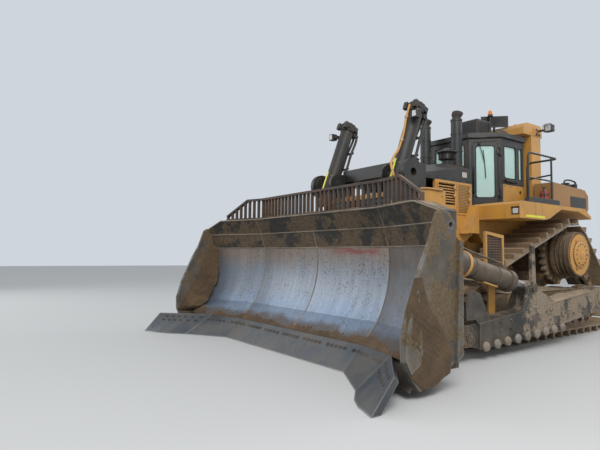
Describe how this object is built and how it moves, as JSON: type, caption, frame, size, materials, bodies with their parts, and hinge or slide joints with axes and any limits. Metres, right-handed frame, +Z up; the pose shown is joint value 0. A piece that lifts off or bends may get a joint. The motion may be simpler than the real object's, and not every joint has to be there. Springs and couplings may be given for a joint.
{
  "type": "bulldozer",
  "caption": "Large bulldozer on high-drive tracks with a wide curved push blade, box push arms, twin lift and tilt cylinders, a cab with swinging doors and a roll-over frame.",
  "frame": {"origin": "middle of the bottom of the whole machine's box, on the ground", "axes": "+Z up, -Y the way the machine faces, +X its left side, with the machine's length along Y"},
  "size_m": [6.66, 9.3704, 4.95],
  "materials": {
    "yellow_paint": "weathered yellow enamel with dust",
    "black_paint": "semi-gloss black enamel with dust",
    "blade_black": "worn black paint with caked earth",
    "blade_steel": "steel polished by earth",
    "edge_steel": "worn edge steel",
    "track_steel": "dry earth on worn steel",
    "dirty_steel": "paint under dry earth",
    "dark_iron": "dark cast iron",
    "rod_chrome": "plated rod with dust",
    "stack_black": "heat-proof matt black",
    "cab_glass": "green-tinted glass",
    "seat_fabric": "dark seat cloth",
    "grey_plastic": "textured plastic",
    "beacon_orange": "clear orange plastic",
    "lamp_black": "moulded lamp housing",
    "red_paint": "gloss red enamel"
  },
  "bodies": {
    "tractor": {"track_left": "track_steel", "track_right": "track_steel", "sprockets": "track_steel", "final_drives": "yellow_paint", "idlers": "track_steel", "rollers": "track_steel", "roller_frames": "dirty_steel", "side_panels": "yellow_paint", "exhaust_stacks": "stack_black", "precleaners": "black_paint", "platforms": "yellow_paint", "handrails": "black_paint", "main_frame": "yellow_paint", "engine_block": "dark_iron", "counterweight": "yellow_paint", "drawbar": "dark_iron", "cylinder_mount": "black_paint", "radiator_guard": "yellow_paint", "radiator_grille": "black_paint", "hood": "black_paint", "cab_shell": "black_paint", "cab_glass": "cab_glass", "cab_roof": "black_paint", "operator_seat": "seat_fabric", "side_consoles": "grey_plastic", "rops_frame": "yellow_paint", "fuel_tank": "yellow_paint", "roof_unit": "black_paint", "beacon": "beacon_orange", "work_lamps": "lamp_black", "extinguisher": "red_paint"},
    "arms": {"push_arm_left": "blade_black", "push_arm_right": "blade_black", "hose_guards": "yellow_paint"},
    "blade": {"moldboard": "blade_steel", "blade_frame": "blade_black", "side_plates": "blade_black", "cutting_edge": "edge_steel", "end_bits": "edge_steel", "spill_guard": "blade_black"},
    "lift_cylinder_left": {"lift_barrel_left": "black_paint"},
    "lift_piston_left": {"lift_rod_left": "rod_chrome"},
    "tilt_cylinder_left": {"tilt_barrel_left": "blade_black"},
    "tilt_piston_left": {"tilt_rod_left": "rod_chrome"},
    "cab_door_left": {"door_left": "black_paint", "door_glass_left": "cab_glass"},
    "lift_cylinder_right": {"lift_barrel_right": "black_paint"},
    "lift_piston_right": {"lift_rod_right": "rod_chrome"},
    "tilt_cylinder_right": {"tilt_barrel_right": "blade_black"},
    "tilt_piston_right": {"tilt_rod_right": "rod_chrome"},
    "cab_door_right": {"door_right": "black_paint", "door_glass_right": "cab_glass"}
  },
  "joints": [
    {"name": "blade_lift", "type": "hinge", "parent": "tractor", "child": "arms", "pos_m": [0, 2.73516, 0.78], "axis": [-1, 0, 0], "range_deg": [-6.5, 13.5]},
    {"name": "blade_pitch", "type": "hinge", "parent": "arms", "child": "blade", "pos_m": [0, -1.71484, 0.4], "axis": [-1, 0, 0], "range_deg": [-4.8, 4.8]},
    {"name": "lift_swing_left", "type": "hinge", "parent": "tractor", "child": "lift_cylinder_left", "pos_m": [0.94, -1.68484, 3.05], "axis": [-1, 0, 0], "range_deg": [-5.64, 11.66]},
    {"name": "lift_stroke_left", "type": "slide", "parent": "lift_cylinder_left", "child": "lift_piston_left", "axis": [0, -0.3572, -0.934], "range_m": [-1.17067, 0.56469]},
    {"name": "tilt_swing_left", "type": "hinge", "parent": "blade", "child": "tilt_cylinder_left", "pos_m": [2.2, -2.38484, 1.65], "axis": [-1, 0, 0], "range_deg": [-3.17, 3.17]},
    {"name": "tilt_stroke_left", "type": "slide", "parent": "tilt_cylinder_left", "child": "tilt_piston_left", "axis": [0, 0.9763, -0.2165], "range_m": [-0.09205, 0.09205]},
    {"name": "door_swing_left", "type": "hinge", "parent": "tractor", "child": "cab_door_left", "pos_m": [0.99131, 1.43308, 2.72], "axis": [0, 0, 1], "range_deg": [0, 110]},
    {"name": "lift_swing_right", "type": "hinge", "parent": "tractor", "child": "lift_cylinder_right", "pos_m": [-0.94, -1.68484, 3.05], "axis": [-1, 0, 0], "range_deg": [-5.64, 11.66]},
    {"name": "lift_stroke_right", "type": "slide", "parent": "lift_cylinder_right", "child": "lift_piston_right", "axis": [0, -0.3572, -0.934], "range_m": [-1.17067, 0.56469]},
    {"name": "tilt_swing_right", "type": "hinge", "parent": "blade", "child": "tilt_cylinder_right", "pos_m": [-2.2, -2.38484, 1.65], "axis": [-1, 0, 0], "range_deg": [-3.17, 3.17]},
    {"name": "tilt_stroke_right", "type": "slide", "parent": "tilt_cylinder_right", "child": "tilt_piston_right", "axis": [0, 0.9763, -0.2165], "range_m": [-0.09205, 0.09205]},
    {"name": "door_swing_right", "type": "hinge", "parent": "tractor", "child": "cab_door_right", "pos_m": [-0.99131, 1.43308, 2.72], "axis": [0, 0, -1], "range_deg": [0, 110]}
  ],
  "couplings": [
    {"joint": "lift_swing_left", "follows": "blade_lift", "ratio": 0.86},
    {"joint": "lift_stroke_left", "follows": "blade_lift", "m_per_rad": -4.96},
    {"joint": "tilt_swing_left", "follows": "blade_pitch", "ratio": -0.64896},
    {"joint": "tilt_stroke_left", "follows": "blade_pitch", "m_per_rad": -1.0749},
    {"joint": "lift_swing_right", "follows": "blade_lift", "ratio": 0.86},
    {"joint": "lift_stroke_right", "follows": "blade_lift", "m_per_rad": -4.96},
    {"joint": "tilt_swing_right", "follows": "blade_pitch", "ratio": -0.64896},
    {"joint": "tilt_stroke_right", "follows": "blade_pitch", "m_per_rad": -1.0749}
  ]
}
